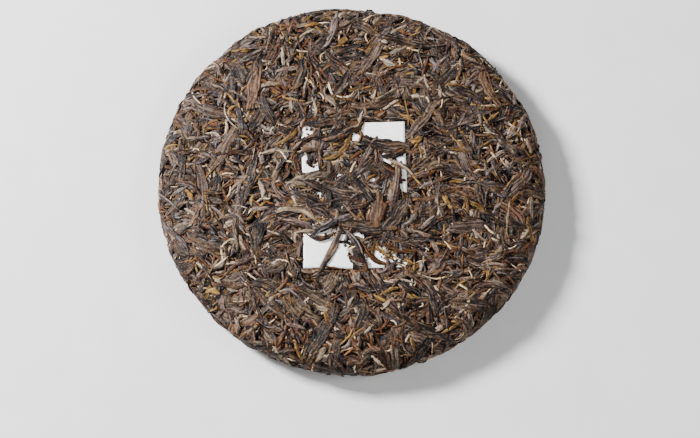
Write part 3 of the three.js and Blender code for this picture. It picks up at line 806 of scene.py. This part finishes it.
def scattered(count, on_face, inner, outer, mix=MIX):
    """Leaves of mixed kinds spread evenly over a ring of a chart, by the golden angle and a little chance."""
    kinds = rng.choice(list(mix), size=count, p=np.array(list(mix.values())) / sum(mix.values()))
    for i in rng.permutation(count):
        reach = math.sqrt(between(inner ** 2, outer ** 2, (i + rng.random()) / count))
        turn = i * GOLDEN_ANGLE + rng.normal(0, 0.05)
        place = polar(reach, turn)
        heading = bunch_heading(place) + rng.normal(0, HEADING_SPREAD)
        if reach > ROUND_THE_RIM:
            heading = turn + math.pi / 2 + rng.normal(0, RIM_HEADING_SPREAD)
        leaf = draw_leaf(kinds[i], place, heading, on_face)
        # Painted sheen: leaves turn greyer towards the far side and browner towards the near side
        leaf["hue"] = min(max(leaf["hue"] - PAINTED_SHEEN_HUE * place[1], 0), 1)
        yield leaf


def lay_mat():
    """The mat of leaves all round the core, laid from the inside out."""
    small = [
        *(leaf for leaf in scattered(FACE_LEAVES, True, 0, RIM_REACH)
          if past_ticket(leaf["middle"]) > TICKET_CLEAR),
        *scattered(UNDERSIDE_LEAVES, False, NEST_CLEAR, UNDER_REACH),
    ]
    order = rng.permutation(len(small))
    first = int(LAID_FIRST * len(small))
    for i in order[:first]:
        lay(small[i])
    for leaf in large_leaves():
        lay(leaf)
    for i in order[first:]:
        lay(small[i])


def lay_over_ticket():
    """Leaves that hold the ticket down, then those that stand out on the face."""
    paper = np.stack(np.meshgrid(
        np.arange(-TICKET_WIDTH / 2, TICKET_WIDTH / 2, CHART_CELL / 2) + TICKET_X,
        np.arange(-TICKET_LENGTH / 2, TICKET_LENGTH / 2, CHART_CELL / 2) + TICKET_Y, indexing="ij"), axis=-1)
    relief.cover(paper, np.full(paper.shape[:-1], PAPER_LEVEL + PAPER), True)
    names = [kind for kind in MIX if kind != "broad_leaves"]
    shares = np.array([MIX[kind] for kind in names])
    for _ in range(OVER_TICKET):
        kind = rng.choice(names, p=shares / shares.sum())
        u, v = (rng.uniform(-most, most) for most in TICKET_SPREAD)
        place = (TICKET_X + u * TICKET_WIDTH, TICKET_Y + v * TICKET_LENGTH)
        heading = bunch_heading(place) + rng.normal(0, TICKET_HEADING_SPREAD)
        leaf = draw_leaf(kind, place, heading, True, over_paper=True)
        if not over_window(leaf):
            lay(leaf)
    for leaf in shown_leaves():
        lay(leaf)
        kept_clear[relief.cells(leaf["cover"])] = True


def lay_small(kind, count, gap=0.15, kept_outside_gaps=0.15):
    """Small things on top of the mat, outside the ticket's windows, and bits of leaf mostly in its gaps."""
    for on_face, number, outer in ((True, count, RIM_REACH), (False, count // 4, UNDER_REACH)):
        around = evened(relief.grids[int(on_face)])
        for leaf in scattered(number, on_face, 0, outer, {kind: 1.0}):
            leaf["heading"] = rng.uniform(0, 2 * math.pi)
            if kind == "silver_tips":
                leaf["bend"] = rng.normal(0, 1.2)
            leaf["over_paper"] = on_face and past_ticket(leaf["middle"]) < leaf["length"] / 2
            cell = relief.cells(leaf["middle"])
            if on_face and (over_window(leaf) or kept_clear[cell]):
                continue
            in_gap = around[cell] - relief.read(leaf["middle"], on_face) > gap
            if kind == "leaf_bits" and not in_gap and rng.random() < 1 - kept_outside_gaps:
                continue
            lay(leaf)


def crumb_relief(points_along=13, points_across=5):
    """Ridges of the smallest broken leaf, pressed into the core itself."""
    upper = int(CRUMBS["count"] * CRUMBS["on_face"])
    for on_face, number, outer in ((True, upper, RIM_REACH), (False, CRUMBS["count"] - upper, UNDER_REACH)):
        reach = (outer + CRUMBS["past_rim"]) * np.sqrt(rng.random(number))
        turn = rng.uniform(0, 2 * math.pi, number)
        middle = stacked(reach * np.cos(turn), reach * np.sin(turn))
        heading = rng.uniform(0, math.pi, number)
        length, width, height = (rng.uniform(*CRUMBS[name], number) for name in ("length", "width", "height"))
        along = stacked(np.cos(heading), np.sin(heading))
        u, v = (values.ravel() for values in np.meshgrid(
            np.linspace(-1, 1, points_along), np.linspace(-1, 1, points_across)))
        places = (middle[:, None] + along[:, None] * (u * length[:, None] / 2)[..., None]
                  + left_of(along)[:, None] * (v * width[:, None] / 2)[..., None])
        swell = np.sqrt(np.clip(1 - 0.9 * u * u - 0.8 * v * v, 0, 1))
        relief.cover(places, pressed(height[:, None] * swell, cap_of(places, on_face)), on_face)


def core_piece(material, rings=88, turns=180, below=0.12):
    """The pressed core that shows in the gaps between the leaves."""
    at = np.linspace(0, ARC_LENGTH, rings + 2)[1:-1]
    turn = np.arange(turns) * 2 * math.pi / turns
    on_face = (ARC_LENGTH - at) < RIM_REACH
    reach = np.where(on_face, ARC_LENGTH - at, at)
    places = stacked(
        reach[:, None] * np.cos(turn)[None],
        np.where(on_face, 1, -1)[:, None] * reach[:, None] * np.sin(turn)[None])
    heights = np.stack([relief.read(places[i], on_face[i]) for i in range(rings)])
    points = wrapped(places, heights - below, on_face[:, None])
    poles = [wrapped(np.zeros((1, 2)), np.zeros(1), side) for side in (False, True)]
    return new_object(
        "pressed_core", np.concatenate([points.reshape(-1, 3), *poles]), *tube_faces(rings, turns), material)


def ticket_piece(material, cell=1.4):
    """The paper: a thin sheet that follows the face and shows a little of what it lies on."""
    across = np.linspace(-0.5, 0.5, round(TICKET_WIDTH / cell) + 1) * TICKET_WIDTH
    down = np.linspace(-0.5, 0.5, round(TICKET_LENGTH / cell) + 1) * TICKET_LENGTH
    x, y = np.meshgrid(across, down, indexing="ij")
    x = x + TICKET_X + 0.12 * np.sin(y / 6.3) * (np.abs(x) > TICKET_WIDTH / 2 - 1)
    places = stacked(x, y + TICKET_Y)
    sheets = [wrapped(places, paper_level(places) - under, True) for under in (PAPER, 0)]
    point = np.arange(x.size).reshape(x.shape)
    upper = stacked(point[:-1, :-1], point[1:, :-1], point[1:, 1:], point[:-1, 1:]).reshape(-1, 4)
    rim = np.concatenate([point[:, 0], point[-1, 1:], point[-2::-1, -1], point[0, -2:0:-1]])
    following = np.roll(rim, -1)
    edge = stacked(rim, following, following + x.size, rim + x.size)
    quads = np.concatenate([upper[:, ::-1], upper + x.size, edge])
    points = np.concatenate([sheet.reshape(-1, 3) for sheet in sheets])
    return new_object("ticket", points, quads, np.zeros((0, 3), int), material)


class Look:
    """A new material, with short ways to add nodes to it."""

    def __init__(self, name):
        self.material = bpy.data.materials.new(name)
        self.material.use_nodes = True
        self.tree = self.material.node_tree
        self.shader = self.tree.nodes["Principled BSDF"].inputs

    def put(self, socket, value):
        """Links another socket to this one, or sets it to a constant."""
        if isinstance(value, bpy.types.NodeSocket):
            self.tree.links.new(value, socket)
        else:
            socket.default_value = value

    def node(self, kind, inputs, **settings):
        made = self.tree.nodes.new("ShaderNode" + kind)
        for name, value in settings.items():
            setattr(made, name, value)
        for name, value in inputs.items():
            self.put(made.inputs[name], value)
        return made

    def place(self):
        return self.node("TexCoord", {}).outputs["Object"]

    def attribute(self, name):
        return self.node("Attribute", {}, attribute_name=name).outputs["Vector"]

    def axes(self, vector):
        parts = self.node("SeparateXYZ", {0: vector})
        return [parts.outputs[axis] for axis in "XYZ"]

    def ramp(self, factor, stops):
        made = self.node("ValToRGB", {"Fac": factor})
        elements = made.color_ramp.elements
        while len(elements) < len(stops):
            elements.new(0.5)
        for element, (place, colour) in zip(elements, stops):
            element.position = place
            element.color = colour
        return made.outputs["Color"]

    def mix(self, blend, factor, first, second):
        """A mix of two colours, each a socket or a constant."""
        made = self.node("Mix", {}, data_type="RGBA", blend_type=blend)
        for number, value in ((0, factor), (6, first), (7, second)):
            self.put(made.inputs[number], value)
        return made.outputs[2]

    def remapped(self, source, low, high, new_low, new_high):
        """A value carried from one range to another."""
        return self.node("MapRange", {
            "Value": source, "From Min": low, "From Max": high, "To Min": new_low, "To Max": new_high,
        }).outputs["Result"]

    def noise(self, vector, scales, detail=3.0, roughness=0.55):
        """Noise read along a vector whose axes are each scaled."""
        scaled = self.node("VectorMath", {0: vector, 1: scales}, operation="MULTIPLY")
        return self.node("TexNoise", {
            "Scale": 1.0, "Detail": detail, "Roughness": roughness, "Vector": scaled.outputs[0],
        }).outputs["Fac"]

    def flakes(self, vector, feature):
        """Cells about five millimetres wide."""
        return self.node("TexVoronoi", {"Scale": 190.0, "Vector": vector}, feature=feature).outputs

    def darkened(self, colour, rows):
        """A colour darkened by rows of a source, where darkening begins and ends, a share and a shade."""
        for source, low, high, most, shade in rows:
            colour = self.mix("MULTIPLY", self.remapped(source, low, high, 0.0, most), colour, (*shade, 1.0))
        return colour

    def bumps(self, *rows):
        """Bumps from rows of a height map, a strength and a depth in millimetres."""
        normal = None
        for height, strength, depth in rows:
            inputs = {"Strength": strength, "Distance": depth * MM, "Height": height}
            if normal is not None:
                inputs["Normal"] = normal
            normal = self.node("Bump", inputs).outputs["Normal"]
        self.put(self.shader["Normal"], normal)

    def finish(self, colour, roughness):
        self.put(self.shader["Base Color"], colour)
        self.put(self.shader["Roughness"], roughness)
        return self.material


def paint(red, green, blue, shade=1.0):
    """A colour picked on the screen, as linear light, darkened by a shade."""
    levels = np.array([red, green, blue]) / 255
    linear = np.where(levels <= 0.04045, levels / 12.92, ((levels + 0.055) / 1.055) ** 2.4)
    return (*(shade * linear).tolist(), 1.0)


# The tints by which leaves of one kind differ
TINTS = (
    (0.0, (0.94, 0.91, 0.98, 1.0)),
    (0.25, (1.02, 0.90, 0.94, 1.0)),
    (0.5, (1.0, 0.93, 0.94, 1.0)),
    (0.75, (1.04, 0.98, 0.74, 1.0)),
    (1.0, (1.28, 0.83, 0.66, 1.0)),
)

# The paints of each kind of leaf, as picked on the screen: its material's name, its tones as (place on the
# scale, red, green, blue), the painted highlight on its raised fibres and specks, the warmer blotches, the
# far end, the roughness, and where they aren't whole the strength of the painted shade in the furrows of its
# fibres and specks and of its tints. The light is strong enough to show the paper white, so all but the
# silver tips are darkened
LEAF_SHADE = 0.51
LEAF_PAINTS = {
    "grey_leaves": (
        "grey_leaf", ((0, 32, 31, 33), (0.58, 79, 74, 77), (1, 164, 150, 139)),
        (204, 186, 170), (106, 74, 54), (146, 106, 66), 0.43),
    "dark_brown_leaves": (
        "dark_brown_leaf", ((0, 31, 26, 25), (0.58, 74, 60, 55), (1, 142, 109, 84)),
        (172, 140, 112), (122, 70, 42), (156, 108, 60), 0.45),
    "broad_leaves": (
        "broad_leaf", ((0, 36, 32, 32), (0.58, 77, 66, 62), (1, 148, 126, 109)),
        (170, 147, 126), (110, 78, 50), (140, 106, 70), 0.45),
    "mauve_leaves": (
        "mauve_leaf", ((0, 80, 65, 59), (0.58, 124, 105, 97), (1, 186, 160, 137)),
        (208, 184, 158), (138, 94, 62), (172, 130, 86), 0.48, 0.85, 0.75),
    "russet_leaves": (
        "russet_leaf", ((0, 76, 46, 32), (0.5, 126, 79, 48), (1, 170, 116, 68)),
        (190, 140, 90), (94, 50, 30), (186, 132, 72), 0.48, 0.8, 0.5),
    "golden_leaves": (
        "golden_leaf", ((0, 104, 82, 48), (0.5, 156, 121, 68), (1, 208, 166, 94)),
        (210, 172, 108), (134, 82, 42), (210, 172, 108), 0.48, 0.8, 0.5),
    "beige_leaves": (
        "beige_leaf", ((0, 154, 131, 106), (0.5, 206, 182, 151), (1, 246, 226, 198)),
        (234, 216, 190), (160, 118, 78), (216, 188, 146), 0.5, 0.75, 0.35),
    "silver_tips": (
        "silver_tip", ((0, 186, 156, 118), (0.5, 216, 191, 153), (1, 234, 215, 186)),
        (228, 218, 200), (160, 126, 88), (196, 176, 140), 0.5, 0.35, 0.25, 1.0),
    "stems": (
        "stem", ((0, 92, 54, 34), (0.5, 138, 88, 50), (0.85, 182, 132, 78), (1, 226, 200, 160)),
        (200, 156, 106), (104, 60, 38), (206, 172, 124), 0.5, 0.7, 0.5),
    "leaf_bits": (
        "leaf_bit", ((0, 38, 30, 27), (0.5, 88, 66, 52), (0.76, 148, 106, 68), (0.9, 206, 178, 140),
                     (1, 240, 222, 190)),
        (180, 148, 114), (120, 76, 48), (172, 134, 92), 0.52, 0.8, 0.6),
}


def leaf_material(name, tones, painted_highlight, warm, tip, roughness, furrow_shade=1.0, tints=1.0, shade=LEAF_SHADE):
    """Dry leaf: a tone and a tint for each leaf, ridges, fibres and specks, and ends of another colour, with
    a painted highlight on the raised fibres and specks and painted shade in their furrows, between the
    ridges, along the rolled edges and where the leaf lies deep under others.
    """
    look = Look(name)
    painted_highlight, warm, tip = (paint(*picked, shade) for picked in (painted_highlight, warm, tip))
    grain = look.attribute("grain")
    tone, hue, along = look.axes(look.attribute("look"))
    # Masks for the painted shade: depth under other leaves, the rolled edges and the furrows between the
    # ridges
    depth, edge, ridges = look.axes(look.attribute("painted_shade"))
    fibres = look.noise(grain, (0.11, 1.1, 1.0), 3.0, 0.6)
    blotches = look.noise(grain, (0.2, 0.35, 1.7), 2.0)
    specks = look.noise(look.place(), (800, 800, 800), 2.0, 0.6)
    toned = look.ramp(tone, [(at, paint(*picked, shade)) for at, *picked in tones])
    colour = look.mix("MULTIPLY", tints, toned, look.ramp(hue, TINTS))
    colour = look.mix("MIX", look.remapped(blotches, 0.5, 0.64, 0.0, 0.8), colour, warm)
    # Painted highlight: the fibres and the specks are lighter where their bumps rise
    colour = look.mix("MIX", look.remapped(fibres, 0.54, 0.68, 0.0, 0.75), colour, painted_highlight)
    colour = look.mix("MIX", look.remapped(specks, 0.56, 0.68, 0.0, 0.35), colour, painted_highlight)
    far_end = look.remapped(along, 0.72, 1.0, 0.0, 1.0)
    some_leaves = look.remapped(hue, 0.45, 0.6, 0.0, 0.8)
    tipped = look.node("Math", {0: far_end, 1: some_leaves}, operation="MULTIPLY").outputs[0]
    colour = look.darkened(look.mix("MIX", tipped, colour, tip), (
        # Painted shade in the furrows between the fibres and in the pits between the specks, where their
        # bumps sink
        (fibres, 0.52, 0.38, 0.95 * furrow_shade, (0.12, 0.1, 0.1)),
        (specks, 0.48, 0.38, 0.6 * furrow_shade, (0.16, 0.13, 0.12)),
        # Painted shade in the furrows between the ridges that run along the leaf
        (ridges, 0.1, -0.9, 0.7, (0.25, 0.21, 0.2)),
        # Painted shade along the leaf's rolled side edges
        (edge, 0.3, 1.0, 0.5, (0.3, 0.25, 0.235)),
        # Painted shade where the leaf lies deep under the leaves round it
        (depth, 0.08, 0.85, 0.92, (0.09, 0.075, 0.07)),
    ))
    look.bumps((specks, 0.8, 0.42), (fibres, 1.0, 0.6))
    look.put(look.shader["Specular IOR Level"], 0.12)
    return look.finish(colour, look.remapped(fibres, 0.3, 0.7, roughness - 0.04, roughness + 0.2))


def core_material():
    """Small leaf between the large ones: flakes that each have a tone and a direction of their fibres, with
    painted shade in the furrows between the fibres and in the sunken gaps between the flakes.
    """
    look = Look("pressed_core")
    place = look.place()
    warp = look.noise(place, (130, 130, 130), 2.0)
    warped = look.node(
        "VectorMath", {0: warp, 1: (0.011, -0.009, 0.004), 2: place}, operation="MULTIPLY_ADD").outputs[0]
    borders = look.flakes(warped, "DISTANCE_TO_EDGE")["Distance"]
    direction, tone, _ = look.axes(look.flakes(warped, "F1")["Color"])
    angle = look.remapped(direction, 0, 1, 0, 2 * math.pi)
    turned = look.node("VectorRotate", {"Vector": warped, "Angle": angle}, rotation_type="Z_AXIS").outputs[0]
    fibres = look.noise(turned, (180, 1500, 900), 3.0, 0.6)
    fine = look.noise(place, (900, 900, 900), 3.0)
    height = look.axes(place)[2]
    toned = look.ramp(tone, [
        (0, paint(30, 25, 24)), (0.4, paint(50, 42, 40)), (0.75, paint(84, 70, 60)), (1, paint(124, 94, 66))])
    colour = look.darkened(toned, (
        # Painted shade in the furrows between the fibres, which the bumps sink
        (fibres, 0.56, 0.4, 0.85, (0.3, 0.26, 0.24)),
        (fine, 0.5, 0.66, 0.6, (0.4, 0.36, 0.34)),
        # Painted shade in the sunken gaps between the flakes
        (borders, 0.14, 0.0, 0.85, (0.2, 0.17, 0.16)),
        (height, 2 * MM, 6 * MM, 0.6, (0.3, 0.27, 0.26)),
    ))
    look.bumps((look.remapped(borders, 0, 0.16, 0, 1), 1.0, 0.5), (fibres, 0.8, 0.4))
    look.put(look.shader["Specular IOR Level"], 0.15)
    return look.finish(colour, look.remapped(fine, 0.3, 0.7, 0.55, 0.85))


def paper_material():
    """Thin white paper with faint fibres and a little dust of tea."""
    look = Look("ticket_paper")
    place = look.place()
    fibres = look.noise(place, (900, 500, 900), 4.0, 0.6)
    stains = look.noise(place, (70, 70, 70), 2.0)
    white = look.ramp(fibres, [(0.3, paint(238, 235, 230)), (0.55, paint(251, 249, 246))])
    colour = look.mix("MULTIPLY", look.remapped(stains, 0.58, 0.78, 0.0, 0.4), white, paint(222, 206, 182))
    look.bumps((fibres, 0.35, 0.08))
    return look.finish(colour, look.remapped(fibres, 0.3, 0.7, 0.75, 0.92))


def add_floor(half=3000.0):
    """A plain pale floor."""
    points = half * np.array([(-1, -1, 0), (1, -1, 0), (1, 1, 0), (-1, 1, 0)])
    look = Look("floor")
    noise = look.noise(look.place(), (40, 40, 40), 2.0)
    pale = look.ramp(noise, [(0.3, (0.74, 0.73, 0.71, 1.0)), (0.7, (0.77, 0.76, 0.74, 1.0))])
    material = look.finish(pale, 0.85)
    floor = new_object("floor", points, np.array([[0, 1, 2, 3]]), np.zeros((0, 3), int), material, False)


def aimed(place, target, up=(0, 1, 0)):
    """A transform at a place that looks at a target."""
    back = (Vector(place) - Vector(target)).normalized()
    upright = (Vector(up) - back * back.dot(Vector(up))).normalized()
    across = upright.cross(back)
    turn = Matrix((across, upright, back)).transposed()
    return Matrix.Translation(Vector(place)) @ turn.to_4x4()


# Soft studio light, mostly from the upper left: each lamp's place and size in metres, and its power in watts
LIGHTS = {
    "key": ((-0.9, 0.42, 0.76), 0.28, 60),
    "fill": ((0.95, -0.2, 0.9), 0.6, 9),
    "low": ((0.05, -1.2, 0.7), 0.6, 7),
}
LIGHT_COLOUR = (0.96, 0.98, 1.0)
LIT_POINT = (0, 0, 0.02)
BACKDROP_COLOUR = (0.9, 0.92, 1.0, 1.0)
BACKDROP_STRENGTH = 0.12


def add_lights():
    for name, (place, size, power) in LIGHTS.items():
        lamp = bpy.data.lights.new(name, "AREA")
        lamp.color = LIGHT_COLOUR
        lamp.shape = "SQUARE"
        lamp.size = size
        lamp.energy = power
        thing = bpy.data.objects.new(name, lamp)
        thing.matrix_world = aimed(place, LIT_POINT)
        bpy.context.scene.collection.objects.link(thing)
    world = bpy.data.worlds.new("studio")
    world.use_nodes = True
    backdrop = world.node_tree.nodes["Background"]
    backdrop.inputs["Color"].default_value = BACKDROP_COLOUR
    backdrop.inputs["Strength"].default_value = BACKDROP_STRENGTH
    bpy.context.scene.world = world


IMAGE_WIDTH = 700
IMAGE_HEIGHT = 438
CAKE_PIXEL = (352.4, 180.5)  # where the middle of the cake shows
CAMERA_DISTANCE = 0.974
CAMERA_DOWN = 18.1  # degrees off the face's upright, towards the ticket's lower edge
CAMERA_LEFT = 1.25  # and towards its left edge
CAMERA_ROLL = 0.96  # degrees by which the picture's upright leans off the ticket's
LENS = 100.0
SENSOR = 36.0


def add_camera():
    """The camera looks down on the face, a little from the ticket's lower edge."""
    camera = bpy.data.cameras.new("camera")
    camera.lens = LENS
    camera.sensor_width = SENSOR
    camera.clip_end = 20
    low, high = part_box("tea_cake")
    middle = Vector(((low[0] + high[0]) / 2, (low[1] + high[1]) / 2, high[2] * 0.8))
    left, down, roll = (math.tan(math.radians(angle)) for angle in (CAMERA_LEFT, CAMERA_DOWN, CAMERA_ROLL))
    back = Vector((-left, -down, 1)).normalized()
    view = aimed(middle + back * CAMERA_DISTANCE, middle, (roll, 1, 0))
    across, upright = view.col[0].to_3d(), view.col[1].to_3d()
    pixel = CAMERA_DISTANCE * SENSOR / LENS / IMAGE_WIDTH
    right_by, down_by = IMAGE_WIDTH / 2 - CAKE_PIXEL[0], IMAGE_HEIGHT / 2 - CAKE_PIXEL[1]
    shift = (across * right_by - upright * down_by) * pixel
    thing = bpy.data.objects.new("camera", camera)
    thing.matrix_world = Matrix.Translation(shift) @ view
    bpy.context.scene.collection.objects.link(thing)
    bpy.context.scene.camera = thing


def dress_cake():
    """Makes every piece of the cake and ties it to the frame."""
    crumb_relief()
    core = core_piece(core_material())
    lay_mat()
    ticket = ticket_piece(paper_material())
    lay_over_ticket()
    for kind, count in ON_TOP:
        lay_small(kind, count)
    drop_hidden()
    leaves = [leaf_piece(kind, leaf_material(*LEAF_PAINTS[kind])) for kind in KINDS]
    for piece in (core, *leaves):
        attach(piece, "root")
        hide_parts("tea_cake")
    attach(ticket, "root")
    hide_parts("paper_ticket")


add_camera()
dress_cake()
add_floor()
add_lights()
